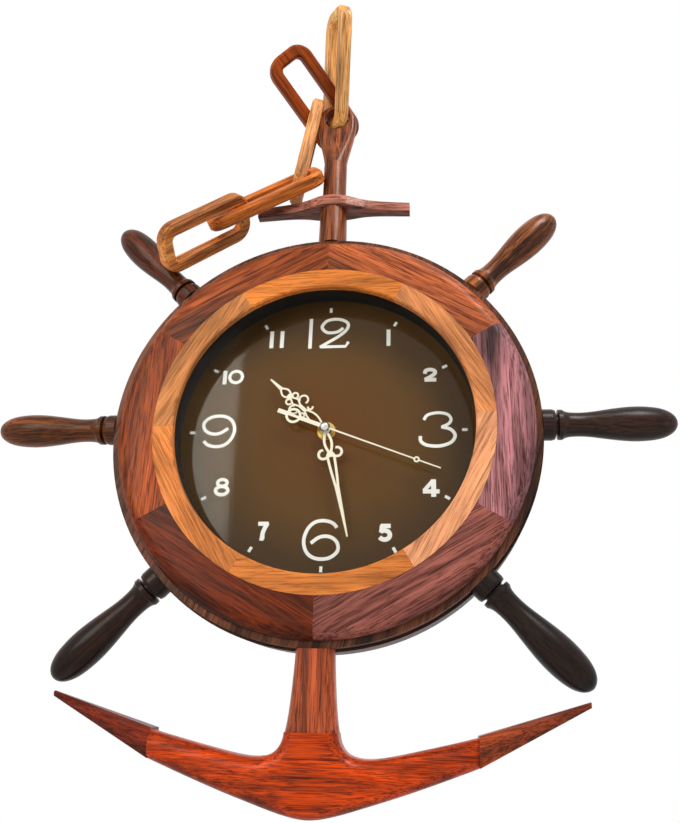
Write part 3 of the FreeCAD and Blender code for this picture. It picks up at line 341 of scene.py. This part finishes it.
def plain(name, colour, roughness, metallic=0.0, spread=0.12, scale=900.0, relief=0.08):
    """Painted, moulded or metal surface with slight mottling, uneven gloss and fine texture."""
    material, nodes, links, shader = new_material(name)
    place = object_place(nodes)
    mottle = noise(nodes, links, place, scale / mottle_size, 4.0)
    fine = noise(nodes, links, place, scale, 3.0)
    shades = (shaded(colour, 1.0 - spread), shaded(colour, 1.0 + spread))
    links.new(ramp(nodes, links, mottle, tuple(zip(noise_stops, shades))), shader.inputs["Base Color"])
    least = max(least_roughness, roughness - gloss_spread)
    links.new(mapped(nodes, links, fine, least, roughness + gloss_spread), shader.inputs["Roughness"])
    bumped(nodes, links, shader, fine, relief, skin_bump)
    set_inputs(shader, Metallic=metallic)
    return material


def brushed(name, colour, roughness, way=(1, 0, 0)):
    """Metal with fine parallel scratches."""
    material, nodes, links, shader = new_material(name)
    grain = grain_coordinates(nodes, links, way)
    lines = noise(nodes, links, stretched(nodes, links, grain, brush_scale, brush_seed), 1.0, 3.0)
    shades = (shaded(colour, brush_dark), colour)
    links.new(ramp(nodes, links, lines, tuple(zip(noise_stops, shades))), shader.inputs["Base Color"])
    bumped(nodes, links, shader, lines, brush_relief, skin_bump)
    set_inputs(shader, Metallic=1.0, Roughness=roughness)
    return material


def clear_glass():
    """Flat clock glass: light goes straight through, and a trace is mirrored. More leaves grain."""
    material, nodes, links, _ = new_material("clear_glass")
    smear = noise(nodes, links, object_place(nodes), smear_scale, 3.0)
    fresnel = node(nodes, "ShaderNodeFresnel", IOR=glass_ior).outputs["Fac"]
    share = math_node(nodes, links, "MULTIPLY", fresnel, mapped(nodes, links, smear, smear_least, 1.0))
    # Only the front face mirrors: rays aren't bent here, so the back face would mirror all of a slanting view
    front = math_node(nodes, links, "SUBTRACT", 1.0, nodes.new("ShaderNodeNewGeometry").outputs["Backfacing"])
    share = math_node(nodes, links, "MULTIPLY", share, front)
    mirror = node(nodes, "ShaderNodeBsdfGlossy", Color=white, Roughness=glass_roughness)
    through = node(nodes, "ShaderNodeBsdfTransparent", Color=glass_tint)
    show_mix(nodes, links, share, through.outputs["BSDF"], mirror.outputs["BSDF"])
    return material


def dial_paint():
    """Brown paint under a clear lacquer, warmer in the middle. Its darkening towards the rim is painted
    shade, standing in for the rim's shadow on the dial.
    """
    material, nodes, links, shader = new_material("dial_paint")
    place = object_place(nodes)
    away = nodes.new("ShaderNodeVectorMath")
    away.operation = "DISTANCE"
    away.inputs[1].default_value = (clock_x, dial_front, clock_z)
    links.new(place, away.inputs[0])
    share = math_node(nodes, links, "DIVIDE", away.outputs["Value"], dial_radius)
    mottle = noise(nodes, links, place, dial_mottle_scale, 3.0)
    share = math_node(nodes, links, "ADD", share, math_node(nodes, links, "MULTIPLY", mottle, dial_mottle))
    # The darkest brown, at the rim, is painted shade of the rim on the recessed dial
    browns_to_rim_shade = (linear(102, 58, 12), linear(94, 62, 20), linear(74, 50, 22))
    links.new(ramp(nodes, links, share, tuple(zip(rim_shade_stops, browns_to_rim_shade))), shader.inputs["Base Color"])
    speck = noise(nodes, links, place, dial_speck_scale, 3.0)
    links.new(mapped(nodes, links, speck, *dial_roughness), shader.inputs["Roughness"])
    bumped(nodes, links, shader, speck, dial_relief, skin_bump)
    set_inputs(shader, Specular_IOR_Level=dial_specular, Coat_Weight=1.0, Coat_Roughness=lacquer_roughness,
               Coat_IOR=lacquer_ior)
    return material


def put_on(material, *names):
    """Gives CAD nodes a material in every slot."""
    for name in names:
        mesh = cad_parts[name].data
        if not mesh.materials:
            mesh.materials.append(material)
        for index in range(len(mesh.materials)):
            mesh.materials[index] = material


# Repeated boards: each has its own middle colour, and its grain turns with it

segment_turn = 60.0
felloe_first_turn = 30.0
felloe_seed_step = 2.3
felloe_colours = (
    (156, 82, 45), (146, 98, 104), (132, 78, 70), (100, 38, 8), (136, 62, 22), (152, 74, 32))
bezel_first_turn = 58.0
bezel_seed = 20.0
bezel_seed_step = 1.9
bezel_look = {"pores": 0.45, "streak": 0.4}
bezel_contrast = 0.4
bezel_colours = (
    (224, 146, 90), (234, 162, 116), (206, 122, 56), (212, 128, 64), (217, 142, 82), (213, 125, 54))
spoke_seed = 30.0
spoke_look = {"gloss": 0.28, "coat": 0.1, "relief": 0.1}
spoke_contrast = 1.3
spoke_turns = (45.0, 90.0, 135.0, 225.0, 270.0, 315.0)
spoke_colours = ((148, 86, 46), (58, 36, 27), (28, 16, 9), (36, 17, 5), (98, 52, 18), (92, 44, 20))
link_seed = 60.0
link_seed_step = 1.4
link_look = {"gloss": 0.42, "pores": 0.65, "streak": 0.55}
link_contrast = 0.65
link_colours = ((255, 188, 113), (158, 70, 12), (213, 149, 92), (222, 124, 48), (250, 158, 86))
link_ways = (
    (0.064, -0.424, 0.903), (-0.555, -0.619, 0.556), (-0.153, -0.001, -0.988), (-0.904, 0.036, -0.427),
    (-0.637, -0.360, -0.682))

# Single boards: material, middle colour, contrast, way of the grain, seed, look and nodes
upper_look = {"gloss": 0.3, "coat": 0.125, "relief": 0.15}
shank_look = {"gloss": 0.26, "coat": 0.15, "relief": 0.15, "grain_size": 0.7}
crown_look = {"gloss": 0.28, "coat": 0.125, "relief": 0.15, "grain_size": 0.55}
fluke_look = {"gloss": 0.28, "coat": 0.125, "relief": 0.15, "grain_size": 0.7}
single_boards = (
    ("base_wood", (70, 38, 24), 1.0, (1, 0, 0.2), 5.0, {}, ["base_ring"]),
    ("band_wood", (98, 58, 38), 1.0, (0.3, 0, 1), 9.0, {}, ["band_ring"]),
    ("stem_wood", (152, 84, 48), 1.0, (0, 0, 1), 41.0, upper_look, ["anchor_stem", "anchor_eye"]),
    ("stock_wood", (150, 96, 80), 1.0, (1, 0, 0), 44.0, upper_look, ["anchor_stock"]),
    ("shank_wood", (178, 86, 50), 1.0, (0, 0, 1), 47.0, shank_look, ["anchor_shank"]),
    ("crown_wood", (190, 64, 6), 0.7, (1, 0, 0), 50.0, crown_look, ["anchor_crown"]),
    ("fluke_right_wood", (134, 58, 28), 1.1, (1, 0, 0.25), 54.0, fluke_look, ["fluke_right"]),
    ("fluke_left_wood", (112, 38, 14), 1.1, (1, 0, -0.25), 52.0, fluke_look, ["fluke_left"]))


def chord_way(turn):
    """Way of the grain in a rim segment whose middle is at a clockwise turn."""
    angle = math.radians(turn)
    return (math.cos(angle), 0.0, -math.sin(angle))


def arm_way(turn):
    """Way of the grain in a spoke at a clockwise turn."""
    angle = math.radians(turn)
    return (math.sin(angle), 0.0, math.cos(angle))


def dress_rim():
    for index, colour in enumerate(felloe_colours):
        name = "felloe_%d" % (index + 1)
        way = chord_way(segment_turn * index + felloe_first_turn)
        put_on(wood(name + "_wood", tones(colour), way, felloe_seed_step * index), name)
    for index, colour in enumerate(bezel_colours):
        name = "bezel_%d" % (index + 1)
        way = chord_way(segment_turn * index + bezel_first_turn)
        seed = bezel_seed + bezel_seed_step * index
        put_on(wood(name + "_wood", tones(colour, bezel_contrast), way, seed, **bezel_look), name)


def dress_arms():
    for index, (colour, turn) in enumerate(zip(spoke_colours, spoke_turns)):
        name = "spoke_%d" % (index + 1)
        shades = tones(colour, spoke_contrast)
        put_on(wood(name + "_wood", shades, arm_way(turn), spoke_seed + index, **spoke_look), name)


def dress_chain():
    for index, (colour, way) in enumerate(zip(link_colours, link_ways)):
        name = "link_%d_wood" % (index + 1)
        seed = link_seed + link_seed_step * index
        material = wood(name, tones(colour, link_contrast), way, seed, **link_look)
        put_on(material, "chain_link_%d" % (index + 1))


def dress_single_boards():
    for name, colour, contrast, way, seed, look, pieces in single_boards:
        put_on(wood(name, tones(colour, contrast), way, seed, **look), *pieces)


# Dial, movement and hands

def dress_small_pieces():
    put_on(clear_glass(), "glass")
    put_on(plain("black_spacer", linear(22, 20, 20), 0.6), "spacer_ring")
    put_on(dial_paint(), "dial_plate")
    put_on(plain("hand_enamel", linear(250, 240, 220), 0.35, spread=0.02),
           "hour_hand", "minute_hand", "second_hand")
    put_on(plain("cap_metal", linear(224, 222, 216), 0.12, metallic=1.0, spread=0.03), "hand_cap")
    put_on(brushed("nut_brass", linear(214, 178, 104), 0.25), "washer", "hex_nut")
    put_on(brushed("plate_brass", linear(196, 160, 96), 0.32), "hanger_plate")
    put_on(brushed("screw_steel", linear(190, 188, 184), 0.3), "wood_screws")
    put_on(brushed("contact_steel", linear(205, 205, 205), 0.25, (0, 0, 1)), "battery_contacts")
    put_on(plain("case_plastic", linear(34, 34, 36), 0.55, scale=2200.0, relief=0.3),
           "case_front", "back_cover", "middle_plate")
    put_on(plain("gear_plastic", linear(232, 228, 214), 0.35),
           "hour_wheel", "motion_wheel", "centre_wheel", "third_wheel", "seconds_wheel", "fifth_wheel")
    put_on(plain("knob_plastic", linear(210, 60, 48), 0.4), "setting_knob")
    put_on(plain("gasket_rubber", linear(24, 24, 24), 0.8), "rubber_gasket")
    put_on(plain("magnet", linear(92, 92, 96), 0.5, metallic=0.6), "rotor")
    put_on(brushed("stator_iron", linear(160, 160, 164), 0.35), "stator")
    put_on(brushed("coil_copper", linear(196, 112, 62), 0.3, (0, 0, 1)), "coil")
    put_on(plain("board_lacquer", linear(26, 92, 52), 0.35), "circuit_board")
    put_on(plain("battery_jacket", linear(42, 44, 50), 0.35, spread=0.05), "battery")


# Printed numerals: each is a few flat strokes

def arc(centre, radii, start, sweep, count=arc_steps):
    """Points along part of an ellipse, in shares of a glyph's box."""
    points = []
    for index in range(count + 1):
        angle = math.radians(start + sweep * index / count)
        points.append((centre[0] + radii[0] * math.cos(angle), centre[1] + radii[1] * math.sin(angle)))
    return points


def flowing(*points):
    """Smooth run through the points, as a Catmull-Rom curve."""
    run = []
    for index in range(len(points) - 1):
        before, a = points[max(index - 1, 0)], points[index]
        b, after = points[index + 1], points[min(index + 2, len(points) - 1)]
        for step in range(flow_steps):
            t = step / flow_steps
            run.append(tuple(
                0.5 * (2 * q + (r - p) * t + (2 * p - 5 * q + 4 * r - s) * t ** 2
                       + (3 * q - p - 3 * r + s) * t ** 3)
                for p, q, r, s in zip(before, a, b, after)))
    return run + [points[-1]]


nine_spiral = (
    (0.08, 0.18), (0.17, 0.09), (0.32, 0.03), (0.52, 0.015), (0.72, 0.07), (0.88, 0.22), (0.975, 0.45),
    (0.965, 0.66), (0.87, 0.84), (0.70, 0.95), (0.48, 0.985), (0.25, 0.95), (0.07, 0.83), (0.02, 0.70),
    (0.07, 0.55), (0.22, 0.44), (0.42, 0.41), (0.60, 0.46), (0.77, 0.58))
large_two = (
    (0.79, 0.65), (0.63, 0.54), (0.43, 0.505), (0.235, 0.525), (0.09, 0.65), (0.09, 0.765), (0.235, 0.915),
    (0.47, 0.97), (0.72, 0.95), (0.92, 0.86), (0.975, 0.73), (0.885, 0.56), (0.65, 0.375), (0.325, 0.19),
    (0.04, 0.03))
large_three_top = (
    (0.13, 0.79), (0.20, 0.90), (0.35, 0.965), (0.58, 0.985), (0.80, 0.93), (0.89, 0.79), (0.82, 0.66),
    (0.63, 0.565))
large_three_bottom = (
    (0.63, 0.565), (0.86, 0.50), (0.98, 0.37), (0.98, 0.25), (0.88, 0.12), (0.66, 0.03), (0.42, 0.01),
    (0.17, 0.05), (0.03, 0.16), (0.02, 0.29))
small_two = ((0.12, 0.64), (0.20, 0.86), (0.52, 0.95), (0.84, 0.84), (0.88, 0.62), (0.62, 0.38), (0.16, 0.10))
seven_leg = ((0.90, 0.93), (0.66, 0.66), (0.48, 0.36), (0.50, 0.08))

# Strokes of each figure in a box from (0, 0) to (1, 1), each with its share of the stroke's width
glyphs = {
    "1": [([(0.5, 0.0), (0.5, 1.0)], 1.0)],
    "2": [(flowing(*small_two), 0.95), ([(0.14, 0.06), (0.92, 0.06)], 1.0)],
    "4": [([(0.66, 0.0), (0.66, 0.97)], 1.15), ([(0.62, 0.94), (0.08, 0.34)], 0.9),
          ([(0.04, 0.28), (0.98, 0.28)], 1.0)],
    "5": [([(0.90, 0.93), (0.20, 0.93)], 1.0), ([(0.24, 0.93), (0.18, 0.54)], 0.95),
          (arc((0.46, 0.33), (0.44, 0.30), 128, -272), 1.05)],
    "7": [([(0.04, 0.93), (0.96, 0.93)], 0.95), (flowing(*seven_leg), 1.0),
          ([(0.56, 0.07), (0.30, 0.09)], 1.05)],
    "8": [(arc((0.5, 0.76), (0.36, 0.21), 0, 360), 0.8), (arc((0.5, 0.28), (0.46, 0.26), 0, 360), 0.85)],
    "0": [(arc((0.5, 0.5), (0.48, 0.46), 0, 360, 26), 0.8)],
    "large 1": [([(0.42, 0.0), (0.58, 1.0)], 1.1)],
    "large 2": [(flowing(*large_two), 1.0), ([(0.04, 0.03), (0.90, 0.03), (0.985, 0.17)], 0.95)],
    "large 3": [(flowing(*large_three_top), 0.9), (flowing(*large_three_bottom), 1.0)],
    "large 6": [(flowing(*[(1 - across, 1 - up) for across, up in nine_spiral]), 1.0)],
    "large 9": [(flowing(*nine_spiral), 1.0)],
}

# Every figure: strokes, name, middle x and z from the dial's middle, width and height, in millimetres
small_figures = (
    ("1", "one", 48.8, 81.9, 3.6, 17.2), ("2", "two", 82.5, 47.6, 14.0, 13.5),
    ("4", "four", 82.1, -46.9, 15.5, 16.1), ("5", "five", 47.4, -81.3, 12.4, 14.8),
    ("7", "seven", -45.6, -80.4, 10.8, 16.6), ("8", "eight", -80.6, -45.5, 14.0, 16.3),
    ("1", "ten_left", -86.6, 48.4, 3.6, 14.4), ("0", "ten_right", -77.2, 48.8, 14.4, 14.6),
    ("1", "eleven_left", -49.4, 82.5, 3.6, 17.8), ("1", "eleven_right", -40.6, 82.5, 3.6, 17.8))
large_figures = (
    ("large 1", "twelve_left", -16.6, 87.4, 3.6, 29.6), ("large 2", "twelve_right", 3.4, 87.6, 27.2, 30.0),
    ("large 3", "three", 87.7, 0.6, 30.4, 31.2), ("large 6", "six", -0.7, -86.9, 30.0, 32.7),
    ("large 9", "nine", -87.5, 1.1, 29.5, 29.7))


def ribbon(mesh, points, width, closed, thickness):
    """Flat strip along points on the dial, with an even width and a small thickness."""
    count = len(points)
    front = Vector((0.0, -thickness, 0.0))
    rows = []
    for index, point in enumerate(points):
        before = points[(index - 1) % count] if closed or index else point
        after = points[(index + 1) % count] if closed or index < count - 1 else point
        run = after - before
        side = Vector((-run.z, 0.0, run.x)).normalized() * width / 2
        if not closed and index in (0, count - 1):
            point = point + run.normalized() * width / 2 * (-1 if index == 0 else 1) * end_overrun
        rows.append([mesh.verts.new(point + offset) for offset in (side, side + front, front - side, -side)])
    pairs = zip(rows, rows[1:] + rows[:1]) if closed else zip(rows, rows[1:])
    for first, second in pairs:
        for a in range(4):
            b = (a + 1) % 4
            mesh.faces.new((first[a], first[b], second[b], second[a]))
    if not closed:
        mesh.faces.new(rows[0])
        mesh.faces.new(rows[-1][::-1])


def printed(name, strokes, middle, size, width, material, turn=0.0):
    """A print piece from strokes in a unit box, set at a middle (x, z) from the dial's middle in metres."""
    mesh = bmesh.new()
    cosine, sine = math.cos(turn), math.sin(turn)
    for order, (points, width_share) in enumerate(strokes):
        closed = len(points) > 3 and math.dist(points[0], points[-1]) < closing_gap
        placed = []
        for across, up in points[:-1] if closed else points:
            x = (across - 0.5) * (size[0] - width)
            z = (up - 0.5) * (size[1] - width)
            placed.append(Vector((clock_x + middle[0] + x * cosine + z * sine, dial_front - print_lift,
                                  clock_z + middle[1] - x * sine + z * cosine)))
        ribbon(mesh, placed, width * width_share, closed, print_thickness * (1 + order * stroke_step))
    bmesh.ops.recalc_face_normals(mesh, faces=mesh.faces)
    data = bpy.data.meshes.new(name)
    mesh.to_mesh(data)
    mesh.free()
    piece = bpy.data.objects.new(name, data)
    bpy.context.collection.objects.link(piece)
    data.materials.append(material)
    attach(piece, "clock")


def print_dial():
    paint = plain("dial_print", linear(252, 251, 248), 0.45, spread=0.01)
    for figures, stroke in ((small_figures, small_stroke), (large_figures, large_stroke)):
        for figure, name, x, z, wide, high in figures:
            printed("figure_" + name, glyphs[figure], (x * MM, z * MM), (wide * MM, high * MM), stroke, paint)
    for hour in range(hour_count):
        turn = 2 * math.pi * hour / hour_count
        middle = (tick_radius * math.sin(turn), tick_radius * math.cos(turn))
        printed("tick_%d" % hour, glyphs["1"], middle, (tick_width, tick_length), tick_width, paint, turn)


# Softened edges on the chain's links

def soften_links():
    for index in range(link_count):
        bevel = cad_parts["chain_link_%d" % (index + 1)].modifiers.new("edge", "BEVEL")
        bevel.width = link_edge
        bevel.segments = link_edge_segments
        bevel.limit_method = "ANGLE"
        bevel.angle_limit = math.radians(link_edge_angle)
        bevel.use_clamp_overlap = True


# Stage, lights and camera

def pale(name):
    """Pale surface that shows plain white to the camera, to mirrors and through glass."""
    material, nodes, links, shader = new_material(name)
    set_inputs(shader, Base_Color=floor_colour, Roughness=floor_roughness)
    glow = node(nodes, "ShaderNodeEmission", Color=white, Strength=1.0)
    show_mix(nodes, links, background_seen(nodes, links), shader.outputs["BSDF"], glow.outputs["Emission"])
    return material


def set_stage():
    height = cad_box[0][2] - floor_drop
    turns = ((-1, -1), (1, -1), (1, 1), (-1, 1))
    corners = [Vector((x * stage_reach, y * stage_reach, height)) for x, y in turns]
    data = bpy.data.meshes.new("floor")
    data.from_pydata(corners, [], [tuple(range(len(corners)))])
    data.materials.append(pale("pale_stage"))
    floor = bpy.data.objects.new("floor", data)
    bpy.context.collection.objects.link(floor)


def area_light(name, place, aim, size, power, colour=(1.0, 1.0, 1.0)):
    """Rectangular lamp that faces a point."""
    data = bpy.data.lights.new(name, "AREA")
    data.shape = "RECTANGLE"
    data.size, data.size_y = size
    data.energy = power
    data.color = colour
    lamp = bpy.data.objects.new(name, data)
    lamp.location = place
    lamp.rotation_euler = (Vector(aim) - Vector(place)).to_track_quat("-Z", "Y").to_euler()
    bpy.context.collection.objects.link(lamp)


def set_lights():
    area_light("key", key_place, (clock_x, 0.0, clock_z), key_size, key_power)
    area_light("side", side_place, (side_place[0], 0.0, side_place[2]), side_size, side_power, side_colour)
    world = bpy.data.worlds.new("studio")
    bpy.context.scene.world = world
    world.use_nodes = True
    nodes, links = world.node_tree.nodes, world.node_tree.links
    background = nodes["Background"]
    strength = mapped(nodes, links, background_seen(nodes, links), world_light, 1.0)
    links.new(strength, background.inputs["Strength"])
    set_inputs(background, Color=white)


def set_camera():
    level = Matrix(((1, 0, 0), (0, 0, -1), (0, 1, 0)))
    turned = Matrix.Rotation(camera_tilt, 3, "X") @ Matrix.Rotation(camera_turn, 3, "Y")
    axes = Matrix.Rotation(camera_roll, 3, "Z") @ turned @ level
    basis = Matrix((axes[0], -axes[1], -axes[2])).transposed()
    data = bpy.data.cameras.new("camera")
    data.sensor_fit = "VERTICAL"
    data.sensor_height = sensor_height
    data.lens = sensor_height * focal_pixels / photo_height
    data.shift_x = (photo_width / 2 - centre_pixel[0]) / photo_height
    data.shift_y = (centre_pixel[1] - photo_height / 2) / photo_height
    data.clip_start = clip_near
    data.clip_end = clip_far
    camera = bpy.data.objects.new("camera", data)
    camera.matrix_world = Matrix.Translation(camera_place) @ basis.to_4x4()
    bpy.context.collection.objects.link(camera)
    bpy.context.scene.camera = camera
    bpy.context.scene.view_settings.view_transform = "Standard"


dress_rim()
dress_arms()
dress_single_boards()
dress_chain()
dress_small_pieces()
print_dial()
soften_links()
set_stage()
set_lights()
set_camera()
